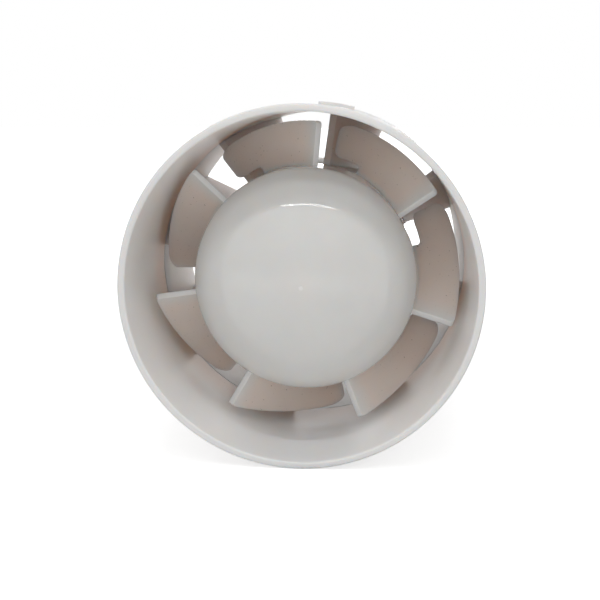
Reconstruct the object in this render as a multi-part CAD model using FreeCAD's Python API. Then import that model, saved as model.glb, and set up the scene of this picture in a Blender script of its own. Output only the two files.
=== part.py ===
"""Inline axial fan for 100 mm round duct: casing tube, impeller, guide vanes and shaded-pole motor.

Millimetres. The origin is the centre of the inlet rim, +Y runs along the axis to the outlet and +Z is up.
Angles are counter-clockwise from +X, as seen from the inlet.
"""
import FreeCAD, Part
import math
import os

os.makedirs("parts", exist_ok=True)
V = FreeCAD.Vector

# Casing: two tubes lapped into each other
spigot_r = 49.5            # outside radius, slides into 100 mm duct
casing_wall = 2.0
rim_round = 0.5            # rounding of the two open rims
seam_gap = 0.7             # groove between the halves on the inside wall
lap_len = 6.0              # overlap of the halves
lap_clear = 0.1            # radial room in the lap
lap_end_clear = 0.3        # axial room at the end of the lip
groove_depth = 0.6         # grooves that mark how far the ducts go on
groove_len = 1.5
groove_clear = 0.5         # between the outlet groove and the grommet

# Snap latches of the lap
latch_angles = (81.5, 201.5, 321.5)
latch_width = 11.0
latch_proud = 1.0          # height of the loop over the tube
latch_run_up = 4.0         # length of the loop ahead of the seam
latch_window = 7.0
latch_clear = 0.3

# Impeller
hub_r = 32.0
hub_nose_y = 5.7           # the dome's tip, behind the inlet rim
hub_dome = 17.5            # depth of the dome
hub_wall = 1.8
gate_mark_r = 0.7          # moulding gate mark on the dome's tip
gate_mark_height = 0.2
boss_r = 5.0
boss_end_setback = 3.5     # the boss ends this far inside the skirt
boss_slot = 0.8
boss_slot_len = 7.0
boss_slot_angle = 15.0
rib_count = 6
rib_wall = 1.4
rib_setback = 8.0          # the ribs end this far inside the skirt
blade_count = 7
blade_first_angle = 33.9
blade_wrap = 42.75         # angle from leading to trailing edge
blade_depth = 24.7         # axial length
blade_setback = 2.6        # the leading edge stands this far behind the dome's end
blade_camber = -0.3        # the blade is steeper to the swirl at its trailing edge
blade_sections = 10
blade_overrun = 0.15       # share of the blade that the raw sheet runs past each edge
blade_root_axial = 2.1     # thickness measured along the axis
blade_tip_axial = 1.4
tip_gap = 2.6              # between blade tips and casing
tip_lead_round = 1.0
tip_trail_round = 2.5
root_cut_len = 6.5         # the trailing edges stand this far behind the hub's skirt
root_cut_gap = 2.4         # free space between the trailing root and the hub line
root_cut_round = 2.0

# Shaft and bearings
shaft_r = 2.0
press_clear = 0.02         # pressed seats on the shaft
running_clear = 0.03       # shaft in bush, radial
shaft_in_boss = 22.0
bush_r = 4.8               # spherical bush
bush_half_len = 2.9
bush_seat_clear = 0.05
housing_wall = 1.4
felt_clear = 0.2
felt_thick = 1.4
felt_len = 4.0
clip_thick = 0.4
clip_offset = 1.5          # from the bush's middle
clip_clear = 0.1
clip_notch = 1.0
clip_notch_count = 6
washer_thick = 0.5
washer_r = 4.4
end_play = 0.2
circlip_thick = 0.8
circlip_r = 4.0
circlip_depth = 0.3        # groove in the shaft
circlip_gap = 0.1
circlip_mouth = 1.6
clamp_ring_thick = 0.9     # spring ring round the boss
clamp_ring_len = 2.5
clamp_ring_setback = 1.0

# Motor
air_gap = 0.35
rotor_r = 10.7
stack_len = 18.0
yoke_r = 23.4
yoke_wall = 3.6
neck_half = 4.0
shoe_depth = 3.15
shoe_half_angle = 36.0
pole_count = 4
cage_bar_count = 12
cage_bar_r = 1.05
cage_bar_clear = 0.05
cage_bar_setback = 1.5
cage_ring_len = 2.5
cage_ring_wall = 4.9
cage_ring_lip = 0.25       # the end rings stand past the bars
coil_clear = 0.15
bobbin_wall = 0.8
flange_wall = 0.7
flange_gap = 0.2
winding_build = 1.85
winding_clear = 0.1
flange_half = 7.0
shade_bar = 1.0            # shading ring section
shade_depth = 1.3
shade_clear = 0.1
shade_inset = 0.35
bolt_r = 1.5
bolt_clear = 0.1
bolt_circle_r = 20.2
bolt_lobe_r = 3.0
bolt_head_r = 2.75
bolt_head = 2.0
bolt_thread_len = 6.0
leg_len = 7.5
plate = 2.5                # bracket arms
arm_width = 6.5
bush_from_plate = 0.8      # bush middle, from the outer face of the arms
housing_floor = 1.0
housing_rim = 2.8          # housing's open end, from the bush middle
housing_hole_clear = 1.0   # round the shaft in the housing's floor
pad_height = 3.5
pad_r = 3.0
pad_circle_r = 14.0
fuse_r = 1.6
fuse_len = 8.0
lead_r = 0.8
lead_bend = 0.45           # bend radius, as a share of the lead's drop

# Motor carrier: cup and guide vanes
hub_gap = 2.0              # between the hub's skirt and the cup
cup_r = 31.3
cup_wall = 1.8
cup_floor = 2.0
shaft_hole_r = 6.0
vane_gap = 4.1             # from the trailing edges to the seam
vane_count = 8
vane_first_angle = 37.2
vane_wrap = 18.6
vane_thick = 2.0
vane_sections = 8
vane_inset = 0.3           # vane edges inside the outlet tube's ends
vane_end_clear = 0.05      # welded joint at the tube wall
duct_angle = 155.0
duct_width = 10.0
duct_from_seam = 2.5
cable_from_seam = 12.0
cable_r = 3.0
cable_hole_clear = 0.4
grommet_wall = 1.2
grommet_flange = 1.2
grommet_flange_wall = 0.8
grommet_neck = 2.3
grommet_clear = 0.05
pillar_angles = (90, 210, 330)
pillar_r = 2.9
pillar_len = 12.0
pillar_web = 4.5
mount_screw_angles = (45, 225)
screw_r = 1.4
screw_clear = 0.3
thread_clear = 0.05
screw_head_r = 2.8
screw_head = 1.8
screw_bite = 1.5           # how far the mount screw enters the bracket's arm

# Terminal block and rear cover
block_height = 6.0
block_width = 18.0
block_depth = 10.0
block_round = 1.0
block_seat_clear = 0.1
block_pitch = 9.0
wire_hole_r = 1.3
wire_entry = 1.6
terminal_screw_r = 1.3
terminal_screw_clear = 0.1
terminal_screw_offset = 2.0
terminal_screw_len = 2.2
block_to_cap = 0.6
cap_thick = 1.6
cap_crown = 0.6
cap_crown_setback = 8.0
cap_clear = 0.3
cap_round = 0.8
cap_screw_sink = 0.9
cap_screw_len = 8.0

# Working sizes
trim = 2.0                 # raw shapes run this far past the face that trims them
flat = 1e-3                # edges within this length lie in one plane

# Places along the axis, worked out from the sizes above
hub_shoulder_y = hub_nose_y + hub_dome
lead_y = hub_shoulder_y + blade_setback
trail_y = lead_y + blade_depth
hub_end_y = trail_y - root_cut_len
boss_end_y = hub_end_y - boss_end_setback
seam_y = trail_y + vane_gap
lip_end_y = seam_y + lap_len
window_start_y = seam_y + lap_len / 3
window_end_y = lip_end_y - lap_len / 6
cup_front_y = hub_end_y + hub_gap
cup_floor_y = cup_front_y + cup_floor
plate_front_y = cup_floor_y + pad_height
stack_front_y = plate_front_y + plate + leg_len
stack_rear_y = stack_front_y + stack_len
plate_rear_y = stack_rear_y + leg_len + plate
front_bush_y = plate_front_y + bush_from_plate
rear_bush_y = plate_rear_y - bush_from_plate
housing_half = bush_half_len + bush_seat_clear + housing_floor
block_front_y = rear_bush_y + housing_half + block_seat_clear
block_rear_y = block_front_y + block_height
cap_seat_y = block_rear_y + block_to_cap
cap_face_y = cap_seat_y + cap_thick
rear_y = cap_face_y + cap_crown

# Radii that several pieces share
bore_r = spigot_r - casing_wall
tongue_r = bore_r + casing_wall / 2
tip_r = bore_r - tip_gap
cup_bore_r = cup_r - cup_wall
stator_bore_r = rotor_r + air_gap
shoe_r = stator_bore_r + shoe_depth
yoke_bore_r = yoke_r - yoke_wall
felt_r = bush_r + felt_clear + felt_thick
pocket_r = felt_r + felt_clear
housing_r = pocket_r + housing_wall
pillar_circle_r = cup_bore_r - pillar_r
cable_y = seam_y + cable_from_seam
grommet_r = cable_r + grommet_wall
grommet_flange_r = grommet_r + grommet_flange_wall


def turned(points):
    """Solid of revolution about the axis through (radius, y) corners."""
    corners = [V(r, y, 0) for r, y in points]
    return Part.Face(Part.makePolygon(corners + corners[:1])).revolve(V(), V(0, 1, 0), 360)


def rod(radius, y0, y1, r=0, angle=0):
    """Cylinder along the axis from y0 to y1, at radius r and an angle."""
    return placed(Part.makeCylinder(radius, y1 - y0, V(r, y0, 0), V(0, 1, 0)), angle)


def ring(r_in, r_out, y0, y1):
    return rod(r_out, y0, y1).cut(rod(r_in, y0, y1))


def block(x0, x1, y0, y1, z0, z1):
    return Part.makeBox(x1 - x0, y1 - y0, z1 - z0, V(x0, y0, z0))


def placed(shape, angle):
    """Copy turned about the axis, counter-clockwise from the inlet."""
    return shape.rotated(V(), V(0, -1, 0), angle)


def around(shape, count, first=0):
    return [placed(shape, first + 360 * i / count) for i in range(count)]


def rounded_turned(corners):
    """Solid of revolution through (radius, y, corner radius) corners, each rounded by an arc."""
    edges = []
    last = None
    first = None
    total = len(corners)
    for i, (r, y, radius) in enumerate(corners):
        corner = V(r, y, 0)
        before = V(*corners[i - 1][:2], 0) - corner
        after = V(*corners[(i + 1) % total][:2], 0) - corner
        before.normalize()
        after.normalize()
        half = before.getAngle(after) / 2
        start = corner + before * (radius / math.tan(half))
        end = corner + after * (radius / math.tan(half))
        if last:
            edges.append(Part.makeLine(last, start))
        if radius:
            middle = before + after
            middle.normalize()
            middle = corner + middle * (radius / math.sin(half) - radius)
            edges.append(Part.Arc(start, middle, end).toShape())
        first = first or start
        last = end
    edges.append(Part.makeLine(last, first))
    return Part.Face(Part.Wire(edges)).revolve(V(), V(0, 1, 0), 360)


def rim_rounded(tube, y, radius):
    """The tube with the circular edges of its end face at y rounded."""
    edges = [e for e in tube.Edges if abs(e.BoundBox.YMin - y) + abs(e.BoundBox.YMax - y) < flat]
    return tube.makeFillet(radius, edges)


def dome_curve(radius, depth, shoulder_y):
    """Quarter ellipse from the dome's tip to its shoulder, as a curve through eight points."""
    steps = [math.radians(90 * i / 7) for i in range(8)]
    points = [V(radius * math.sin(u), shoulder_y - depth * math.cos(u), 0) for u in steps]
    curve = Part.BSplineCurve()
    curve.interpolate(Points=points, InitialTangent=V(radius, 0, 0), FinalTangent=V(0, depth, 0))
    return curve.toShape()


def radial_hole(radius, r0, r1, y, angle):
    """Cylinder square to the axis, from radius r0 to r1."""
    return placed(Part.makeCylinder(radius, r1 - r0, V(r0, y, 0), V(1, 0, 0)), angle)


def latch_loop():
    """Raised loop over the lip, before its window is cut."""
    half = latch_width / 2
    strip = block(tongue_r, spigot_r + 2 * latch_proud, seam_y - latch_run_up, lip_end_y, -half, half)
    return strip.common(ring(tongue_r + lap_clear, spigot_r + latch_proud, 0, rear_y))


def latch_window_cut():
    """Window through the loop and into the tongue below it."""
    half = latch_window / 2
    floor_r = bore_r + casing_wall / 4
    return block(floor_r, spigot_r + 2 * latch_proud, window_start_y, window_end_y, -half, half)


def latch_wedge():
    """Wedge on the tongue that snaps into the window."""
    y0 = window_start_y + latch_clear
    y1 = window_end_y - latch_clear
    low = V(bore_r + casing_wall / 4, y0, 0)
    corners = [low, V(tongue_r + lap_clear, y0, 0), V(spigot_r + latch_proud / 2, y1, 0), V(low.x, y1, 0)]
    width = latch_window - 2 * latch_clear
    wedge = Part.Face(Part.makePolygon(corners + corners[:1])).extrude(V(0, 0, width))
    return wedge.translated(V(0, 0, -width / 2))


def inlet_tube():
    end_y = seam_y - seam_gap / 2
    lip_r = tongue_r + lap_clear
    groove_r = spigot_r - groove_depth
    groove_end_y = seam_y - latch_run_up
    groove_y = groove_end_y - groove_len
    tube = turned([(bore_r, 0), (spigot_r, 0), (spigot_r, groove_y), (groove_r, groove_y),
                   (groove_r, groove_end_y), (spigot_r, groove_end_y), (spigot_r, lip_end_y),
                   (lip_r, lip_end_y), (lip_r, end_y), (bore_r, end_y)])
    tube = rim_rounded(tube, 0, rim_round)
    tube = tube.fuse([placed(latch_loop(), angle) for angle in latch_angles])
    tube = tube.cut([placed(latch_window_cut(), angle) for angle in latch_angles])
    return tube.removeSplitter()


def outlet_tube():
    shoulder_y = lip_end_y + lap_end_clear
    start_y = seam_y + seam_gap / 2
    groove_r = spigot_r - groove_depth
    groove_y = cable_y + grommet_flange_r + groove_clear
    groove_end_y = groove_y + groove_len
    tube = turned([(bore_r, start_y), (tongue_r, start_y), (tongue_r, shoulder_y), (spigot_r, shoulder_y),
                   (spigot_r, groove_y), (groove_r, groove_y), (groove_r, groove_end_y),
                   (spigot_r, groove_end_y), (spigot_r, rear_y), (bore_r, rear_y)])
    tube = rim_rounded(tube, rear_y, rim_round)
    tube = tube.fuse([placed(latch_wedge(), angle) for angle in latch_angles])
    hole = radial_hole(grommet_r + grommet_clear, cup_r, spigot_r + casing_wall, cable_y, duct_angle)
    return tube.cut(hole).removeSplitter()


def blade():
    """Twisted sheet, thinner towards the tip, trimmed to the blade's outline seen from the side."""
    root_r = hub_r - hub_wall / 2
    raw_r = root_r - trim
    reach_r = tip_r + trim
    root = blade_root_axial / 2
    tip = blade_tip_axial / 2
    sections = []
    for i in range(blade_sections):
        t = (1 + 2 * blade_overrun) * i / (blade_sections - 1) - blade_overrun
        y = lead_y + blade_depth * (t + blade_camber * (t * t - t))
        corners = [V(raw_r, y - root, 0), V(reach_r, y - tip, 0),
                   V(reach_r, y + tip, 0), V(raw_r, y + root, 0)]
        sections.append(placed(Part.makePolygon(corners + corners[:1]), blade_wrap * t))
    sheet = Part.makeLoft(sections, True)
    cut_r = hub_r + root_cut_gap
    outline = rounded_turned([(root_r, lead_y, 0), (tip_r, lead_y, tip_lead_round),
                              (tip_r, trail_y, tip_trail_round), (cut_r, trail_y, root_cut_round),
                              (cut_r, hub_end_y, root_cut_round / 2), (root_r, hub_end_y, 0)])
    return sheet.common(placed(outline, 180))


def impeller():
    inner_r = hub_r - hub_wall
    outer = dome_curve(hub_r, hub_dome, hub_shoulder_y)
    inner = dome_curve(inner_r, hub_dome - hub_wall, hub_shoulder_y)
    skirt = Part.makePolygon([V(hub_r, hub_shoulder_y, 0), V(hub_r, hub_end_y, 0), V(inner_r, hub_end_y, 0),
                              V(inner_r, hub_shoulder_y, 0)])
    tip = Part.makeLine(V(0, hub_nose_y, 0), V(0, hub_nose_y + hub_wall, 0))
    shell = Part.Face(Part.Wire([outer] + skirt.Edges + [inner, tip])).revolve(V(), V(0, 1, 0), 360)
    cap_line = Part.makePolygon([V(hub_r, hub_shoulder_y, 0), V(hub_r, hub_end_y, 0), V(0, hub_end_y, 0),
                                 V(0, hub_nose_y, 0)])
    filled = Part.Face(Part.Wire([outer] + cap_line.Edges)).revolve(V(), V(0, 1, 0), 360)
    boss = rod(boss_r, hub_nose_y, boss_end_y)
    rib = block(0, inner_r + hub_wall / 2, hub_nose_y, hub_end_y - rib_setback, -rib_wall / 2, rib_wall / 2)
    inside = filled.common(boss.fuse(around(rib, rib_count)))
    gate = rod(gate_mark_r, hub_nose_y - gate_mark_height, hub_nose_y + hub_wall / 2)
    body = shell.fuse([inside, gate] + around(blade(), blade_count, blade_first_angle))
    body = body.cut(rod(shaft_r + press_clear, boss_end_y - shaft_in_boss, boss_end_y))
    reach = boss_r + press_clear
    slot = block(-reach, reach, boss_end_y - boss_slot_len, boss_end_y, -boss_slot / 2, boss_slot / 2)
    crossed = [placed(slot, boss_slot_angle), placed(slot, boss_slot_angle + 90)]
    return body.cut(crossed).removeSplitter()


def impeller_clip():
    y1 = boss_end_y - clamp_ring_setback
    inner = boss_r + press_clear
    ring_shape = ring(inner, inner + clamp_ring_thick, y1 - clamp_ring_len, y1)
    mouth = block(0, boss_r + 2 * clamp_ring_thick, 0, boss_end_y, -circlip_mouth / 2, circlip_mouth / 2)
    return ring_shape.cut(mouth)


def motor_shaft():
    shaft = rod(shaft_r, boss_end_y - shaft_in_boss, rear_bush_y + housing_half - housing_floor / 2)
    for y0, y1 in circlip_spans():
        groove = ring(shaft_r - circlip_depth, shaft_r + trim, y0 - circlip_gap / 2, y1 + circlip_gap / 2)
        shaft = shaft.cut(groove)
    return shaft


def washer_spans():
    reach = bush_half_len + end_play
    return [(front_bush_y + reach, front_bush_y + reach + washer_thick),
            (rear_bush_y - reach - washer_thick, rear_bush_y - reach)]


def circlip_spans():
    front, rear = washer_spans()
    return [(front[1] + circlip_gap, front[1] + circlip_gap + circlip_thick),
            (rear[0] - circlip_gap - circlip_thick, rear[0] - circlip_gap)]


def thrust_washers():
    return Part.Compound([ring(shaft_r + running_clear, washer_r, y0, y1) for y0, y1 in washer_spans()])


def shaft_circlips():
    clips = []
    mouth = block(0, 2 * circlip_r, 0, rear_y, -circlip_mouth / 2, circlip_mouth / 2)
    for y0, y1 in circlip_spans():
        clips.append(ring(shaft_r - circlip_depth + press_clear, circlip_r, y0, y1).cut(mouth))
    return Part.Compound(clips)


def cage_bars(radius, y0, y1):
    circle_r = rotor_r - cage_bar_setback
    return around(rod(radius, y0, y1, circle_r), cage_bar_count)


def rotor_core():
    core = ring(shaft_r + press_clear, rotor_r, stack_front_y, stack_rear_y)
    return core.cut(cage_bars(cage_bar_r + cage_bar_clear, stack_front_y, stack_rear_y))


def rotor_cage():
    outer = rotor_r - cage_bar_setback + cage_bar_r + cage_ring_lip
    inner = outer - cage_ring_wall
    front = ring(inner, outer, stack_front_y - cage_ring_len, stack_front_y)
    rear = ring(inner, outer, stack_rear_y, stack_rear_y + cage_ring_len)
    bars = cage_bars(cage_bar_r, stack_front_y - cage_ring_len / 2, stack_rear_y + cage_ring_len / 2)
    return front.fuse([rear] + bars).removeSplitter()


def shade_slot_z():
    """Near edge of the shading ring's slot, from the pole's middle."""
    return neck_half - shade_bar / 2


def stator_core():
    yoke = ring(yoke_bore_r, yoke_r, stack_front_y, stack_rear_y)
    lobe = rod(bolt_lobe_r, stack_front_y, stack_rear_y, bolt_circle_r)
    neck_end = (yoke_bore_r + yoke_r) / 2
    neck = block(stator_bore_r, neck_end, stack_front_y, stack_rear_y, -neck_half, neck_half)
    wedge = Part.makeCylinder(shoe_r, stack_len, V(0, stack_front_y, 0), V(0, 1, 0), 2 * shoe_half_angle)
    shoe = centred_sector(wedge)
    core = yoke.fuse(around(neck.fuse(shoe), pole_count) + around(lobe, pole_count, 180 / pole_count))
    core = core.cut(rod(stator_bore_r, stack_front_y, stack_rear_y))
    z0 = shade_slot_z() - shade_clear
    depth = stator_bore_r + shade_inset + shade_depth + shade_clear
    slot = block(0, depth, stack_front_y, stack_rear_y, z0, z0 + shade_bar + 2 * shade_clear)
    hole = rod(bolt_r + bolt_clear, stack_front_y, stack_rear_y, bolt_circle_r)
    holes = around(hole, pole_count, 180 / pole_count)
    return core.cut(around(slot, pole_count) + holes).removeSplitter()


def centred_sector(sector):
    """A cylinder sector turned so that it lies evenly about +X."""
    middle = sector.CenterOfMass
    return placed(sector, -math.degrees(math.atan2(middle.z, middle.x)))


def shading_rings():
    x0 = stator_bore_r + shade_inset
    z0 = shade_slot_z()
    z1 = shoe_r * math.sin(math.radians(shoe_half_angle)) + shade_clear
    over = shade_bar + shade_clear
    outer = block(x0, x0 + shade_depth, stack_front_y - over, stack_rear_y + over, z0, z1 + shade_bar)
    inner = block(0, shoe_r, stack_front_y - shade_clear, stack_rear_y + shade_clear, z0 + shade_bar, z1)
    return Part.Compound(around(outer.cut(inner), pole_count))


def coil_reach():
    """Inner and outer end of a bobbin, measured from the axis along its pole."""
    inner = shoe_r + flange_gap
    return inner, math.sqrt(yoke_bore_r ** 2 - flange_half ** 2) - flange_gap


def pole_sleeve(grow, x0, x1):
    """Box round a pole's neck, larger than the neck by grow."""
    half = neck_half + grow
    return block(x0, x1, stack_front_y - grow, stack_rear_y + grow, -half, half)


def coil_bobbins():
    x0, x1 = coil_reach()
    wall = coil_clear + bobbin_wall
    flange_grow = flange_half - neck_half
    spool = pole_sleeve(wall, x0, x1).fuse([pole_sleeve(flange_grow, x0, x0 + flange_wall),
                                            pole_sleeve(flange_grow, x1 - flange_wall, x1)])
    spool = spool.cut(pole_sleeve(coil_clear, x0, x1))
    return Part.Compound(around(spool.removeSplitter(), pole_count))


def stator_windings():
    x0, x1 = coil_reach()
    x0 += flange_wall + winding_clear
    x1 -= flange_wall + winding_clear
    inner = coil_clear + bobbin_wall + winding_clear
    coil = pole_sleeve(inner + winding_build, x0, x1).cut(pole_sleeve(inner, x0, x1))
    return Part.Compound(around(coil, pole_count))


def bearing_housing(y):
    """Cup for a bush, open towards the rotor behind it; the floor is on the inlet side."""
    floor_y = y - bush_half_len - bush_seat_clear
    housing = rod(housing_r, y - housing_half, y + housing_rim)
    housing = housing.cut(rod(pocket_r, floor_y, y + housing_rim))
    return housing.cut(rod(shaft_r + housing_hole_clear, y - housing_half, floor_y))


def bracket(y):
    """Front bracket: bush housing on four arms, with legs back to the stack."""
    arm = block(housing_r - housing_wall / 2, bolt_circle_r, plate_front_y, plate_front_y + plate,
                -arm_width / 2, arm_width / 2)
    leg = rod(bolt_lobe_r, plate_front_y, stack_front_y, bolt_circle_r)
    return bearing_housing(y).fuse(around(arm.fuse(leg), pole_count, 180 / pole_count))


def to_rear(shape):
    """Mirror image about the middle of the stack."""
    return shape.mirror(V(0, (stack_front_y + stack_rear_y) / 2, 0), V(0, 1, 0))


def front_bearing_bracket():
    pad = rod(pad_r, cup_floor_y, plate_front_y + plate / 2, pad_circle_r)
    body = bracket(front_bush_y).fuse(around(pad, pole_count, 180 / pole_count))
    depth_y = plate_front_y + screw_bite
    threads = [rod(screw_r + thread_clear, cup_floor_y, depth_y, pad_circle_r, a) for a in mount_screw_angles]
    bolts = around(rod(bolt_r + thread_clear, stack_front_y - bolt_thread_len, stack_front_y, bolt_circle_r),
                   pole_count, 180 / pole_count)
    return body.cut(threads + bolts).removeSplitter()


def rear_bearing_bracket():
    holes = around(rod(bolt_r + bolt_clear, plate_front_y, stack_front_y, bolt_circle_r), pole_count,
                   180 / pole_count)
    return to_rear(bracket(front_bush_y).cut(holes).removeSplitter())


def bush(y):
    """Sintered bush with a spherical outside."""
    end_r = math.sqrt(bush_r ** 2 - bush_half_len ** 2)
    ball = Part.makeSphere(bush_r, V(0, y, 0)).common(rod(bush_r, y - bush_half_len, y + bush_half_len))
    return ball.cut(rod(shaft_r + running_clear, y - end_r - bush_r, y + end_r + bush_r))


def oil_felt(y):
    floor_y = y - bush_half_len
    return ring(bush_r + felt_clear, felt_r, floor_y, floor_y + felt_len)


def bush_clip(y):
    """Spring washer that holds the bush in its housing, with notches round its outside."""
    y0 = y + clip_offset
    inner = math.sqrt(bush_r ** 2 - clip_offset ** 2) + clip_clear
    washer = ring(inner, pocket_r - clip_clear, y0, y0 + clip_thick)
    notch = block(pocket_r - clip_notch, pocket_r, y0, y0 + clip_thick, -clip_notch / 2, clip_notch / 2)
    return washer.cut(around(notch, clip_notch_count))


def motor_bolts():
    head_y = plate_rear_y
    shank = rod(bolt_r, stack_front_y - bolt_thread_len + bolt_clear, head_y, bolt_circle_r)
    head = rod(bolt_head_r, head_y, head_y + bolt_head, bolt_circle_r)
    return Part.Compound(around(shank.fuse(head).removeSplitter(), pole_count, 180 / pole_count))


def screw(radius, head_radius, head, y, length):
    """Pan-head screw pointing to the outlet; y is the underside of its head."""
    shape = rod(head_radius, y - head, y).fuse(rod(radius, y, y + length))
    return shape.removeSplitter()


def motor_mount_screws():
    length = plate_front_y + screw_bite - thread_clear - cup_front_y
    one = screw(screw_r, screw_head_r, screw_head, cup_front_y, length).translated(V(pad_circle_r, 0, 0))
    return Part.Compound([placed(one, angle) for angle in mount_screw_angles])


def vane():
    """Guide vane: leans with the swirl at its front edge and runs straight back at its rear edge."""
    y0 = seam_y + seam_gap / 2 + vane_inset
    y1 = rear_y - vane_inset
    root_r = cup_r - cup_wall / 2
    reach_r = bore_r - vane_end_clear
    x0 = root_r - trim
    x1 = reach_r + trim
    half = vane_thick / 2
    sections = []
    for i in range(vane_sections):
        t = i / (vane_sections - 1)
        y = y0 + (y1 - y0) * t
        corners = [V(x0, y, -half), V(x1, y, -half), V(x1, y, half), V(x0, y, half)]
        sections.append(placed(Part.makePolygon(corners + corners[:1]), -vane_wrap * (2 * t - t * t)))
    return Part.makeLoft(sections, True).common(ring(root_r, reach_r, y0, y1))


def cable_duct():
    """Box beside one vane that takes the supply cable from the wall to the motor cup."""
    half = duct_width / 2
    root_r = cup_r - cup_wall / 2
    box = block(root_r - trim, spigot_r, seam_y + duct_from_seam, rear_y - vane_inset, -half, half)
    return placed(box.common(ring(root_r, bore_r - vane_end_clear, 0, rear_y)), duct_angle)


def motor_carrier():
    cup = rod(cup_r, cup_front_y, rear_y).cut(rod(cup_bore_r, cup_floor_y, rear_y))
    body = cup.fuse(around(vane(), vane_count, vane_first_angle) + [cable_duct()])
    start_y = cap_seat_y - pillar_len
    half = pillar_web / 2
    web = block(pillar_circle_r, cup_bore_r + cup_wall / 2, start_y, cap_seat_y, -half, half)
    pillar = rod(pillar_r, start_y, cap_seat_y, pillar_circle_r).fuse(web)
    body = body.fuse([placed(pillar, angle) for angle in pillar_angles])
    cuts = [rod(shaft_hole_r, cup_front_y, cup_floor_y)]
    for angle in mount_screw_angles:
        cuts.append(rod(screw_r + screw_clear, cup_front_y, cup_floor_y, pad_circle_r, angle))
    thread_y = cap_seat_y - cap_screw_len
    for angle in pillar_angles:
        cuts.append(rod(screw_r + thread_clear, thread_y, cap_seat_y, pillar_circle_r, angle))
    cuts.append(radial_hole(cable_r + cable_hole_clear, cup_bore_r - trim, spigot_r, cable_y, duct_angle))
    seat_r = spigot_r - grommet_neck
    cuts.append(radial_hole(grommet_r + grommet_clear, seat_r, spigot_r, cable_y, duct_angle))
    return body.cut(cuts).removeSplitter()


def cable_grommet():
    seat_r = spigot_r - grommet_neck + grommet_clear
    top_r = spigot_r + grommet_flange
    body = radial_hole(grommet_r, seat_r, top_r, cable_y, 0)
    body = body.fuse(radial_hole(grommet_flange_r, spigot_r, top_r, cable_y, 0))
    body = body.cut(radial_hole(cable_r, cup_r, spigot_r + 2 * grommet_flange, cable_y, 0))
    return placed(body.removeSplitter(), duct_angle)


def motor_cap():
    cap_r = cup_bore_r - cap_clear
    crown_r = cap_r - cap_crown_setback
    cap = rounded_turned([(0, cap_seat_y, 0), (cap_r, cap_seat_y, 0), (cap_r, cap_face_y, cap_round),
                          (crown_r + cap_crown, cap_face_y, 0), (crown_r, rear_y, 0), (0, rear_y, 0)])
    sink_y = cap_face_y - cap_screw_sink
    cuts = [rod(screw_r + screw_clear, cap_seat_y, rear_y, pillar_circle_r, a) for a in pillar_angles]
    cuts += [rod(screw_head_r + screw_clear / 3, sink_y, rear_y, pillar_circle_r, a) for a in pillar_angles]
    return cap.cut(cuts)


def cap_screws():
    seat_y = cap_face_y - cap_screw_sink
    length = cap_screw_len - thread_clear + seat_y - cap_seat_y
    one = screw(screw_r, screw_head_r, cap_crown + cap_screw_sink, 0, length)
    one = one.rotated(V(), V(1, 0, 0), 180).translated(V(pillar_circle_r, seat_y, 0))
    return Part.Compound([placed(one, angle) for angle in pillar_angles])


def terminal_block():
    half = block_width / 2
    depth = block_depth / 2
    body = block(-half, half, block_front_y, block_rear_y, -depth, depth)
    upright = [e for e in body.Edges if e.BoundBox.YLength > block_height / 2]
    body = body.makeFillet(block_round, upright)
    middle_y = (block_front_y + block_rear_y) / 2
    cuts = []
    for x in terminal_places():
        cuts.append(Part.makeCylinder(wire_hole_r, block_depth, V(x, middle_y, -depth), V(0, 0, 1)))
        cuts.append(screw_well(x))
    groove = block(-block_round / 2, block_round / 2, middle_y, block_rear_y, -depth, depth)
    return body.cut(cuts + [groove])


def terminal_places():
    return (-block_pitch / 2, block_pitch / 2)


def screw_well(x):
    """Hole for one terminal screw, from the block's rear face to its wire hole."""
    middle_y = (block_front_y + block_rear_y) / 2
    radius = terminal_screw_r + terminal_screw_clear
    return Part.makeCylinder(radius, block_height / 2, V(x, middle_y, -terminal_screw_offset), V(0, 1, 0))


def terminal_screws():
    slot_depth = terminal_screw_len / 4
    screws = []
    for x in terminal_places():
        top_y = block_rear_y - slot_depth
        body = Part.makeCylinder(terminal_screw_r, terminal_screw_len, V(x, top_y - terminal_screw_len,
                                                                         -terminal_screw_offset), V(0, 1, 0))
        slot = block(x - terminal_screw_r, x + terminal_screw_r, top_y - slot_depth, top_y,
                     -terminal_screw_offset - slot_depth / 2, -terminal_screw_offset + slot_depth / 2)
        screws.append(body.cut(slot))
    return Part.Compound(screws)


def coil_end_y():
    """Rear end of the windings."""
    return stack_rear_y + coil_clear + bobbin_wall + winding_clear + winding_build


def coil_middle_r():
    x0, x1 = coil_reach()
    return (x0 + x1) / 2


def motor_leads():
    """Two leads from the top coil, back past the bracket and down into the terminal block."""
    middle_y = (block_front_y + block_rear_y) / 2
    top_z = coil_middle_r()
    end_z = block_depth / 2 - wire_entry
    leads = []
    for x in terminal_places():
        start = V(x, coil_end_y() + winding_clear, top_z)
        corner = V(x, middle_y, top_z)
        end = V(x, middle_y, end_z)
        bend = lead_bend * (top_z - end_z)
        into = corner - V(0, bend, 0)
        out_of = corner - V(0, 0, bend)
        turn = corner + V(0, -bend, -bend) * (1 - math.sqrt(0.5))
        path = Part.Wire([Part.makeLine(start, into), Part.Arc(into, turn, out_of).toShape(),
                          Part.makeLine(out_of, end)])
        section = Part.Wire([Part.makeCircle(lead_r, start, V(0, 1, 0))])
        leads.append(path.makePipeShell([section], True, False))
    return Part.Compound(leads)


def thermal_fuse():
    y = coil_end_y() + winding_clear + fuse_r
    start = V(-fuse_len / 2, y, -coil_middle_r())
    body = Part.makeCylinder(fuse_r, fuse_len, start, V(1, 0, 0))
    return body.makeFillet(fuse_r / 3, [e for e in body.Edges if e.BoundBox.XLength < flat])


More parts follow.
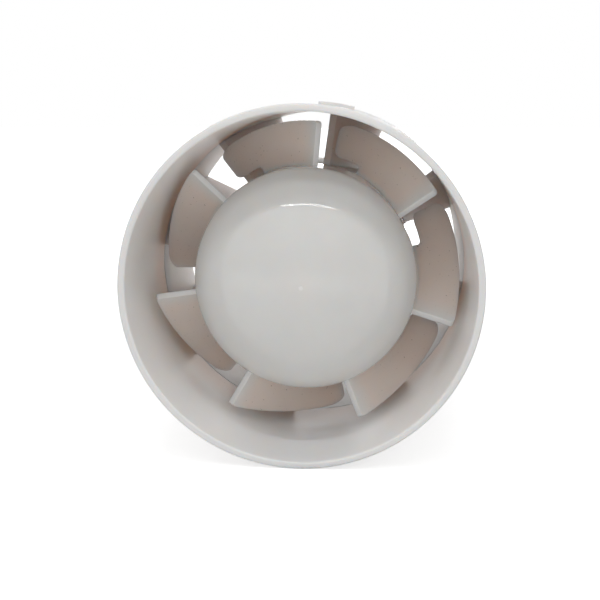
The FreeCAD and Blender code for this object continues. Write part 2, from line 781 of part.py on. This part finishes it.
nodes = {
    "inlet_tube": inlet_tube(),
    "outlet_tube": outlet_tube(),
    "impeller": impeller(),
    "impeller_clip": impeller_clip(),
    "motor_shaft": motor_shaft(),
    "thrust_washers": thrust_washers(),
    "shaft_circlips": shaft_circlips(),
    "rotor_core": rotor_core(),
    "rotor_cage": rotor_cage(),
    "stator_core": stator_core(),
    "shading_rings": shading_rings(),
    "coil_bobbins": coil_bobbins(),
    "stator_windings": stator_windings(),
    "front_bearing_bracket": front_bearing_bracket(),
    "rear_bearing_bracket": rear_bearing_bracket(),
    "front_bush": bush(front_bush_y),
    "rear_bush": to_rear(bush(front_bush_y)),
    "front_oil_felt": oil_felt(front_bush_y),
    "rear_oil_felt": to_rear(oil_felt(front_bush_y)),
    "front_bush_clip": bush_clip(front_bush_y),
    "rear_bush_clip": to_rear(bush_clip(front_bush_y)),
    "motor_bolts": motor_bolts(),
    "motor_mount_screws": motor_mount_screws(),
    "motor_carrier": motor_carrier(),
    "cable_grommet": cable_grommet(),
    "motor_cap": motor_cap(),
    "cap_screws": cap_screws(),
    "terminal_block": terminal_block(),
    "terminal_screws": terminal_screws(),
    "motor_leads": motor_leads(),
    "thermal_fuse": thermal_fuse(),
}

for name, shape in nodes.items():
    shape.exportStep("parts/" + name + ".step")
    print(name, len(shape.Solids), "valid" if shape.isValid() else "INVALID", round(shape.Volume, 1))
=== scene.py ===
import bpy
import math
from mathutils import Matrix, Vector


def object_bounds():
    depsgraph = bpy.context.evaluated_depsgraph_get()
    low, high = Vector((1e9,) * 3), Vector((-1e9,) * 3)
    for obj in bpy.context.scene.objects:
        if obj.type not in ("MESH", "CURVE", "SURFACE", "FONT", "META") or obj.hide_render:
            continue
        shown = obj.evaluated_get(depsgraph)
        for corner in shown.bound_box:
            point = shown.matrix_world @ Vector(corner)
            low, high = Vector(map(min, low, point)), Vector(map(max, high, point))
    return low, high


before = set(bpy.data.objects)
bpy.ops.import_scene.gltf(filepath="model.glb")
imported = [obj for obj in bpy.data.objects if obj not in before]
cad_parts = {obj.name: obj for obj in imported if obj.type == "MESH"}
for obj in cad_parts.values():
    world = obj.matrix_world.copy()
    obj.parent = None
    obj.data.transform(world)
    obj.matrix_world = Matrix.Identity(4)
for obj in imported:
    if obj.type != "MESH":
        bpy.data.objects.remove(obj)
cad_low, cad_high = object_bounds()

# Stator: a stack of punched silicon steel sheets, varnished dark grey, with four inward poles.
# Copper shading rings are pressed into slots at the pole faces to give the motor its turning direction.


def new_finish(name, metallic=0.0):
    """A plain surface shader; gives the material, its node tree and the shader."""
    finish = bpy.data.materials.new(name)
    finish.use_nodes = True
    tree = finish.node_tree
    shader = tree.nodes["Principled BSDF"]
    shader.inputs["Metallic"].default_value = metallic
    return finish, tree, shader


def own_place(tree):
    """The place on the piece, in metres in the fan's own frame."""
    return tree.nodes.new("ShaderNodeTexCoord").outputs["Object"]


def grain(tree, scale, detail=2.0, stretch=(1.0, 1.0, 1.0)):
    """Noise with scale cells per metre, after the place is multiplied by the stretch; gives 0 to 1."""
    stretched = tree.nodes.new("ShaderNodeMapping")
    stretched.inputs["Scale"].default_value = stretch
    cells = tree.nodes.new("ShaderNodeTexNoise")
    cells.inputs["Scale"].default_value = scale
    cells.inputs["Detail"].default_value = detail
    tree.links.new(own_place(tree), stretched.inputs["Vector"])
    tree.links.new(stretched.outputs["Vector"], cells.inputs["Vector"])
    return cells.outputs["Fac"]


def layers(tree, pitch, direction):
    """Even bands across a direction, about one to each pitch in metres; gives 0 to 1.
    The scale is a whole turn over the pitch, divided by the wave's own rate in radians a metre."""
    wave_rate = 20.0
    bands = tree.nodes.new("ShaderNodeTexWave")
    bands.bands_direction = direction
    bands.inputs["Scale"].default_value = 2.0 * math.pi / (wave_rate * pitch)
    tree.links.new(own_place(tree), bands.inputs["Vector"])
    return bands.outputs["Fac"]


def span(tree, value, start, full, low=0.0, high=1.0):
    """A straight line from low, where the value is start, to high, where it is full; level beyond both."""
    line = tree.nodes.new("ShaderNodeMapRange")
    line.inputs["From Min"].default_value = start
    line.inputs["From Max"].default_value = full
    line.inputs["To Min"].default_value = low
    line.inputs["To Max"].default_value = high
    tree.links.new(value, line.inputs["Value"])
    return line.outputs["Result"]


def shade(tree, shader, factor, low_colour, high_colour, low=0.3, high=0.7):
    """Colour that runs from one tone to the other as the factor runs from low to high."""
    ramp = tree.nodes.new("ShaderNodeValToRGB")
    ramp.color_ramp.elements[0].position = low
    ramp.color_ramp.elements[1].position = high
    ramp.color_ramp.elements[0].color = (*low_colour, 1.0)
    ramp.color_ramp.elements[1].color = (*high_colour, 1.0)
    tree.links.new(factor, ramp.inputs["Fac"])
    tree.links.new(ramp.outputs["Color"], shader.inputs["Base Color"])


def gloss(tree, shader, factor, smooth, rough):
    """Roughness that runs from smooth to rough with the factor."""
    tree.links.new(span(tree, factor, 0.0, 1.0, smooth, rough), shader.inputs["Roughness"])


def relief(tree, shader, factor, height, strength=1.0):
    """Fine height, in metres, that bends the shading normal."""
    bump = tree.nodes.new("ShaderNodeBump")
    bump.inputs["Distance"].default_value = height
    bump.inputs["Strength"].default_value = strength
    tree.links.new(factor, bump.inputs["Height"])
    tree.links.new(bump.outputs["Normal"], shader.inputs["Normal"])


def wear(finish, *nodes):
    """Puts a finish on CAD nodes."""
    for node in nodes:
        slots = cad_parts[node].data.materials
        slots.clear()
        slots.append(finish)


sheet_thickness = 0.0005
varnish_grey = (0.055, 0.058, 0.065)
sheet_grey = (0.14, 0.145, 0.155)
stack_finish, tree, shader = new_finish("varnished_laminations", metallic=0.6)
sheets = layers(tree, sheet_thickness, "Y")
shade(tree, shader, sheets, varnish_grey, sheet_grey, low=0.1, high=0.6)
gloss(tree, shader, grain(tree, scale=900.0), smooth=0.35, rough=0.6)
relief(tree, shader, sheets, height=0.00005, strength=0.6)
wear(stack_finish, "stator_core", "rotor_core")

dull_copper = (0.55, 0.27, 0.15)
bright_copper = (0.76, 0.42, 0.26)
ring_finish, tree, shader = new_finish("bare_copper", metallic=1.0)
shade(tree, shader, grain(tree, scale=1500.0, detail=3.0), dull_copper, bright_copper)
gloss(tree, shader, grain(tree, scale=4000.0), smooth=0.22, rough=0.42)
wear(ring_finish, "shading_rings")

# Coils: enamelled copper wire wound in close layers on glass-filled nylon bobbins that push onto the poles.
# The thermal fuse is a small plated can tied against one winding.
wire_pitch = 0.00035
enamel_brown = (0.24, 0.085, 0.03)
enamel_copper = (0.58, 0.25, 0.11)
winding_finish, tree, shader = new_finish("enamelled_wire", metallic=0.7)
turns = layers(tree, wire_pitch, "DIAGONAL")
shade(tree, shader, turns, enamel_brown, enamel_copper, low=0.05, high=0.7)
gloss(tree, shader, grain(tree, scale=700.0), smooth=0.2, rough=0.4)
relief(tree, shader, turns, height=0.0001, strength=0.8)
wear(winding_finish, "stator_windings")

dark_nylon = (0.64, 0.61, 0.52)
pale_nylon = (0.76, 0.73, 0.65)
bobbin_finish, tree, shader = new_finish("filled_nylon")
shade(tree, shader, grain(tree, scale=500.0, detail=4.0), dark_nylon, pale_nylon)
gloss(tree, shader, grain(tree, scale=1800.0), smooth=0.42, rough=0.6)
relief(tree, shader, grain(tree, scale=5000.0), height=0.00002, strength=0.5)
wear(bobbin_finish, "coil_bobbins", "terminal_block", "thrust_washers")

dull_tin = (0.54, 0.54, 0.52)
bright_tin = (0.68, 0.68, 0.66)
fuse_finish, tree, shader = new_finish("tinned_can", metallic=1.0)
shade(tree, shader, grain(tree, scale=1200.0), dull_tin, bright_tin)
gloss(tree, shader, grain(tree, scale=3000.0), smooth=0.22, rough=0.4)
wear(fuse_finish, "thermal_fuse")

# Rotor: laminations with an aluminium cage cast through them, pressed on a ground steel shaft.
# Circlips and nylon thrust washers hold its end play between the two bushes.
dull_aluminium = (0.48, 0.49, 0.50)
bright_aluminium = (0.66, 0.67, 0.68)
cage_finish, tree, shader = new_finish("cast_aluminium", metallic=1.0)
shade(tree, shader, grain(tree, scale=350.0, detail=5.0), dull_aluminium, bright_aluminium)
gloss(tree, shader, grain(tree, scale=1600.0, detail=3.0), smooth=0.34, rough=0.55)
relief(tree, shader, grain(tree, scale=2600.0, detail=3.0), height=0.00004, strength=0.5)
wear(cage_finish, "rotor_cage", "front_bearing_bracket", "rear_bearing_bracket")

dull_steel = (0.48, 0.49, 0.50)
bright_steel = (0.62, 0.63, 0.64)
shaft_finish, tree, shader = new_finish("ground_steel", metallic=1.0)
grinding_rings = grain(tree, scale=600.0, detail=3.0, stretch=(1.0, 12.0, 1.0))
shade(tree, shader, grinding_rings, dull_steel, bright_steel)
gloss(tree, shader, grinding_rings, smooth=0.16, rough=0.32)
wear(shaft_finish, "motor_shaft")

blued_steel = (0.24, 0.25, 0.29)
worn_blue_steel = (0.42, 0.43, 0.45)
spring_finish, tree, shader = new_finish("blued_spring_steel", metallic=1.0)
shade(tree, shader, grain(tree, scale=800.0, detail=3.0), blued_steel, worn_blue_steel)
gloss(tree, shader, grain(tree, scale=2500.0), smooth=0.24, rough=0.42)
wear(spring_finish, "impeller_clip", "shaft_circlips", "front_bush_clip", "rear_bush_clip")

# Bearings: self-aligning sintered bronze bushes, each in an oil-soaked felt ring and held by a sprung clip
# in a die-cast bracket; four long plated bolts clamp the brackets against the stack.
dark_bronze = (0.32, 0.22, 0.11)
bright_bronze = (0.52, 0.38, 0.21)
bush_finish, tree, shader = new_finish("sintered_bronze", metallic=0.9)
shade(tree, shader, grain(tree, scale=6000.0), dark_bronze, bright_bronze)
gloss(tree, shader, grain(tree, scale=3000.0), smooth=0.4, rough=0.6)
relief(tree, shader, grain(tree, scale=6000.0), height=0.00003, strength=0.5)
wear(bush_finish, "front_bush", "rear_bush")

oiled_fibre = (0.36, 0.31, 0.20)
dry_fibre = (0.56, 0.50, 0.35)
felt_roughness = 0.9
felt_finish, tree, shader = new_finish("oiled_felt")
fibres = grain(tree, scale=3000.0, detail=6.0)
shade(tree, shader, fibres, oiled_fibre, dry_fibre)
shader.inputs["Roughness"].default_value = felt_roughness
relief(tree, shader, fibres, height=0.00015)
wear(felt_finish, "front_oil_felt", "rear_oil_felt")

dull_zinc = (0.50, 0.50, 0.47)
bright_zinc = (0.66, 0.66, 0.64)
plated_finish, tree, shader = new_finish("zinc_plated_steel", metallic=1.0)
shade(tree, shader, grain(tree, scale=900.0, detail=4.0), dull_zinc, bright_zinc)
gloss(tree, shader, grain(tree, scale=2200.0, detail=3.0), smooth=0.22, rough=0.42)
wear(plated_finish, "motor_bolts", "motor_mount_screws", "terminal_screws", "cap_screws")

# Leads: two flexible copper wires in soft dark blue vinyl.
# They run from the winding to the terminal block behind the motor, where plated screws hold them.
dark_vinyl = (0.035, 0.055, 0.13)
pale_vinyl = (0.06, 0.09, 0.19)
lead_finish, tree, shader = new_finish("soft_vinyl")
shade(tree, shader, grain(tree, scale=700.0, detail=3.0), dark_vinyl, pale_vinyl)
gloss(tree, shader, grain(tree, scale=2500.0), smooth=0.34, rough=0.52)
wear(lead_finish, "motor_leads")

# Motor carrier: one satin white moulding, a cup for the motor on eight guide vanes with a duct beside one.
# The vanes' outer ends are welded in the rear casing half, and they carry a painted warm shade with dirt
# specks.
light_reach = (1.0, 0.80, 0.66)
cloud_scale = 55.0
mottle_scale = 420.0
tool_grain_scale = 3200.0


def moulded_plastic(name, low_colour, high_colour, smooth, rough, grain_height, light_depth):
    """Moulded white plastic: cloudy tone over centimetres, a finer mottle in its gloss and a tool-face grain.
    Light passes a few millimetres into it, red the furthest, so thin walls glow and turn warm."""
    finish, tree, shader = new_finish(name)
    shader.inputs["Subsurface Weight"].default_value = 1.0
    shader.inputs["Subsurface Radius"].default_value = light_reach
    shader.inputs["Subsurface Scale"].default_value = light_depth
    shade(tree, shader, grain(tree, cloud_scale, detail=5.0), low_colour, high_colour)
    gloss(tree, shader, grain(tree, mottle_scale, detail=4.0), smooth, rough)
    relief(tree, shader, grain(tree, tool_grain_scale, detail=3.0), grain_height, strength=0.6)
    return finish


def axis_depth(tree):
    """Distance behind the inlet rim along the fan's axis."""
    parts = tree.nodes.new("ShaderNodeSeparateXYZ")
    tree.links.new(own_place(tree), parts.inputs["Vector"])
    return parts.outputs["Y"]


def axis_reach(tree):
    """Distance from the fan's axis: the length of the place with its part along the axis taken out."""
    flat = tree.nodes.new("ShaderNodeVectorMath")
    flat.operation = "MULTIPLY"
    flat.inputs[1].default_value = (1.0, 0.0, 1.0)
    reach = tree.nodes.new("ShaderNodeVectorMath")
    reach.operation = "LENGTH"
    tree.links.new(own_place(tree), flat.inputs[0])
    tree.links.new(flat.outputs["Vector"], reach.inputs[0])
    return reach.outputs["Value"]


def joined(tree, operation, first, second):
    """Two values made into one by the named operation."""
    join = tree.nodes.new("ShaderNodeMath")
    join.operation = operation
    tree.links.new(first, join.inputs[0])
    tree.links.new(second, join.inputs[1])
    return join.outputs["Value"]


def two_tones(tree, factor, under, over):
    """The under tone where the factor is 0, the over tone where it is 1, and a straight mix between.
    Each tone is a colour or another node's output."""
    mix = tree.nodes.new("ShaderNodeMix")
    mix.data_type = "RGBA"
    tree.links.new(factor, mix.inputs["Factor"])
    for socket, tone in (("A", under), ("B", over)):
        if isinstance(tone, tuple):
            mix.inputs[socket].default_value = (*tone, 1.0)
        else:
            tree.links.new(tone, mix.inputs[socket])
    return mix.outputs["Result"]


# The film colour is painted shade: the warm, darker tone that faces deep in the tube take in shadow. The
# darker specks are dirt.
painted_shade_colour = (0.89, 0.75, 0.69)
speck_colour = (0.46, 0.36, 0.30)
speck_scale = 1500.0
speck_start = 0.70
speck_full = 0.76


def painted_shade_with_specks(finish, start_y, full_y, start_r, full_r):
    """Painted warm shade, with dark dirt specks, over the plain tone.
    Its share is the product of two straight lines,
    one from start_y to full_y along the axis and one from start_r to full_r away from it."""
    tree = finish.node_tree
    tone = tree.nodes["Principled BSDF"].inputs["Base Color"]
    plain_tone = tone.links[0].from_socket
    specks = span(tree, grain(tree, speck_scale), speck_start, speck_full)
    shade_and_speck_tone = two_tones(tree, specks, painted_shade_colour, speck_colour)
    along = span(tree, axis_depth(tree), start_y, full_y)
    across = span(tree, axis_reach(tree), start_r, full_r)
    share = joined(tree, "MULTIPLY", along, across)
    tree.links.new(two_tones(tree, share, plain_tone, shade_and_speck_tone), tone)


carrier_low = (0.80, 0.77, 0.745)
carrier_high = (0.84, 0.815, 0.79)
carrier_finish = moulded_plastic("carrier_white", carrier_low, carrier_high, smooth=0.42, rough=0.56,
                                 grain_height=0.000012, light_depth=0.003)
# Painted shade: the vanes get the warm tone of their shadow behind the blades, with dirt specks over it.
painted_shade_with_specks(carrier_finish, start_y=0.050, full_y=0.056, start_r=0.0318, full_r=0.0335)
wear(carrier_finish, "motor_carrier")

# Motor cap: a round cover moulded in the same satin plastic as the carrier.
# Three screws hold it over the open end of the cup, at the outlet.
cap_finish = moulded_plastic("cap_white", carrier_low, carrier_high, smooth=0.40, rough=0.54,
                             grain_height=0.000012, light_depth=0.002)
wear(cap_finish, "motor_cap")

# Rear casing half: a plain tube moulded in white plastic, with a thin tongue at its front end for the lap.
# The tongue slides into the front half, and a soft black rubber grommet is pushed into the cable's hole.
lap_share = 0.24


def thin_lap(finish, whole_y, lap_y):
    """Light goes less deep where the wall is halved for the lap.
    Its weight runs in a straight line from 1 at whole_y to lap_share at lap_y."""
    tree = finish.node_tree
    shader = tree.nodes["Principled BSDF"]
    weight = span(tree, axis_depth(tree), whole_y, lap_y, 1.0, lap_share)
    tree.links.new(weight, shader.inputs["Subsurface Weight"])


casing_low = (0.865, 0.845, 0.83)
casing_high = (0.895, 0.875, 0.86)
outlet_finish = moulded_plastic("outlet_white", casing_low, casing_high, smooth=0.40, rough=0.54,
                                grain_height=0.00001, light_depth=0.0036)
thin_lap(outlet_finish, whole_y=0.0612, lap_y=0.0606)
wear(outlet_finish, "outlet_tube")

black_rubber = (0.016, 0.016, 0.017)
grey_rubber = (0.032, 0.032, 0.033)
rubber_finish, tree, shader = new_finish("black_rubber")
shade(tree, shader, grain(tree, scale=900.0, detail=4.0), black_rubber, grey_rubber)
gloss(tree, shader, grain(tree, scale=2500.0), smooth=0.5, rough=0.72)
relief(tree, shader, grain(tree, scale=4000.0), height=0.00003, strength=0.6)
wear(rubber_finish, "cable_grommet")

# Impeller: domed hub and seven blades in one glossy white moulding, filled through a gate at the nose.
# Its split boss is pushed on the shaft and gripped by a spring ring; the blades carry a painted warm shade
# with specks.
impeller_low = (0.785, 0.765, 0.74)
impeller_high = (0.82, 0.80, 0.775)
impeller_finish = moulded_plastic("impeller_white", impeller_low, impeller_high, smooth=0.055, rough=0.07,
                                  grain_height=0.0000001, light_depth=0.003)
# Painted shade: the blade faces get the warm, darker tone of their shadow in the tube, with dirt specks; the
# hub stays plain.
painted_shade_with_specks(impeller_finish, start_y=0.0262, full_y=0.0300, start_r=0.0322, full_r=0.0335)
wear(impeller_finish, "impeller")

gate_tone = (0.88, 0.865, 0.85)
gate_reach = 0.0004
fade_reach = 0.0008
tree = impeller_finish.node_tree
tone = tree.nodes["Principled BSDF"].inputs["Base Color"]
body_tone = tone.links[0].from_socket
gate_share = span(tree, axis_reach(tree), fade_reach, gate_reach)
tree.links.new(two_tones(tree, gate_share, body_tone, gate_tone), tone)

# Front casing half: the plain inlet tube with a flat, slightly rounded rim, moulded in the rear half's white.
# Its lip goes over the rear half's tongue, and the bore behind the blades' front edges has a painted warm
# shade.
inlet_finish = moulded_plastic("inlet_white", casing_low, casing_high, smooth=0.38, rough=0.52,
                               grain_height=0.00001, light_depth=0.0036)
# Painted shade: the deep part of the bore beside the blades gets the warm tone of its shadow, with dirt
# specks.
painted_shade_with_specks(inlet_finish, start_y=0.036, full_y=0.050, start_r=0.0484, full_r=0.0478)
thin_lap(inlet_finish, whole_y=0.0540, lap_y=0.0546)
wear(inlet_finish, "inlet_tube")

# Floor: a plain white sheet under the tube, level with its lowest line.
# It keeps the tube's shadow near by, and further off all that is seen of it is white.
floor_half = 6.0
floor_low = cad_low.z
floor_grey = (0.8, 0.8, 0.8)
floor_roughness = 0.9
white = (1.0, 1.0, 1.0, 1.0)
white_share = 0.6
shadow_reach = 0.12
white_reach = 0.45
floor_mesh = bpy.data.meshes.new("floor")
corners = [(-floor_half, -floor_half, floor_low), (floor_half, -floor_half, floor_low),
           (floor_half, floor_half, floor_low), (-floor_half, floor_half, floor_low)]
floor_mesh.from_pydata(corners, [], [(0, 1, 2, 3)])
floor = bpy.data.objects.new("floor", floor_mesh)
bpy.context.scene.collection.objects.link(floor)


def seen_share(tree):
    """1 for rays from the camera, off a gloss or through glass, and 0 for the rays that carry light."""
    path = tree.nodes.new("ShaderNodeLightPath")
    total = path.outputs["Is Camera Ray"]
    for kind in ("Is Glossy Ray", "Is Transmission Ray"):
        total = joined(tree, "MAXIMUM", total, path.outputs[kind])
    return total


floor_finish, tree, shader = new_finish("floor_white")
shader.inputs["Base Color"].default_value = (*floor_grey, 1.0)
shader.inputs["Roughness"].default_value = floor_roughness
shader.inputs["Specular IOR Level"].default_value = 0.0
shader.inputs["Emission Color"].default_value = white
reach = tree.nodes.new("ShaderNodeVectorMath")
reach.operation = "LENGTH"
tree.links.new(own_place(tree), reach.inputs[0])
whitening = span(tree, reach.outputs["Value"], shadow_reach, white_reach, white_share, 1.0)
lift = joined(tree, "MULTIPLY", seen_share(tree), whitening)
tree.links.new(lift, shader.inputs["Emission Strength"])
floor_mesh.materials.append(floor_finish)

# Room: even soft light from all round, as in a white tent.
# Where the camera or a glossy piece sees it, it is plain white.
room_light = 0.48
world = bpy.data.worlds.new("room")
bpy.context.scene.world = world
world.use_nodes = True
tree = world.node_tree
sky = tree.nodes["Background"]
sky.inputs["Color"].default_value = white
tree.links.new(span(tree, seen_share(tree), 0.0, 1.0, room_light, 1.0), sky.inputs["Strength"])

# Lamps: flat soft panels on stands, a narrow one overhead for the lower wall, one behind on the axis that
# shines through the gaps, one by the camera for the tube's depth that gloss doesn't show, and a strip
# that draws the thin arc on the dome.


def lamp(name, place, width, height, radiance):
    """A flat lamp that faces the middle of the inlet rim: power is radiance times pi times its area."""
    light = bpy.data.lights.new(name, "AREA")
    light.shape = "RECTANGLE"
    light.size = width
    light.size_y = height
    light.energy = radiance * math.pi * width * height
    holder = bpy.data.objects.new(name, light)
    bpy.context.scene.collection.objects.link(holder)
    x, y, z = place
    tilt = math.atan2(math.hypot(x, y), z)
    turn = math.atan2(x, -y)
    holder.location = place
    holder.rotation_euler = (tilt, 0.0, turn)
    return holder


lamp("ceiling_panel", place=(0.0, -0.172, 0.45), width=0.3, height=0.015, radiance=32.0)
lamp("back_lamp", place=(0.0, 0.80, 0.0), width=0.25, height=0.25, radiance=4.4)
camera_panel = lamp("camera_panel", place=(0.02, -0.50, 0.09), width=0.16, height=0.16, radiance=3.7)
camera_panel.visible_glossy = False
lamp("strip_light", place=(-0.005, -0.327, 0.45), width=0.37, height=0.01, radiance=20.0)

# Camera: a lens a little above and to the right of the fan's axis, looking slightly down into the inlet.
# Its focal length, in pixels of a frame that is 600 wide, and its place were fitted to the fan's outlines.
frame_width = 600.0
focal_pixels = 1074.0
sensor_width = 36.0
nearest = 0.01
furthest = 50.0
camera_place = (0.021991, -0.281926, 0.0475)
look_down = 9.979
look_left = 4.419
camera_data = bpy.data.cameras.new("camera")
camera_data.sensor_width = sensor_width
camera_data.lens = sensor_width * focal_pixels / frame_width
camera_data.clip_start = nearest
camera_data.clip_end = furthest
camera = bpy.data.objects.new("camera", camera_data)
camera.location = camera_place
camera.rotation_euler = (math.radians(90.0 - look_down), 0.0, math.radians(look_left))
bpy.context.scene.collection.objects.link(camera)
bpy.context.scene.camera = camera
bpy.context.scene.view_settings.view_transform = "Standard"
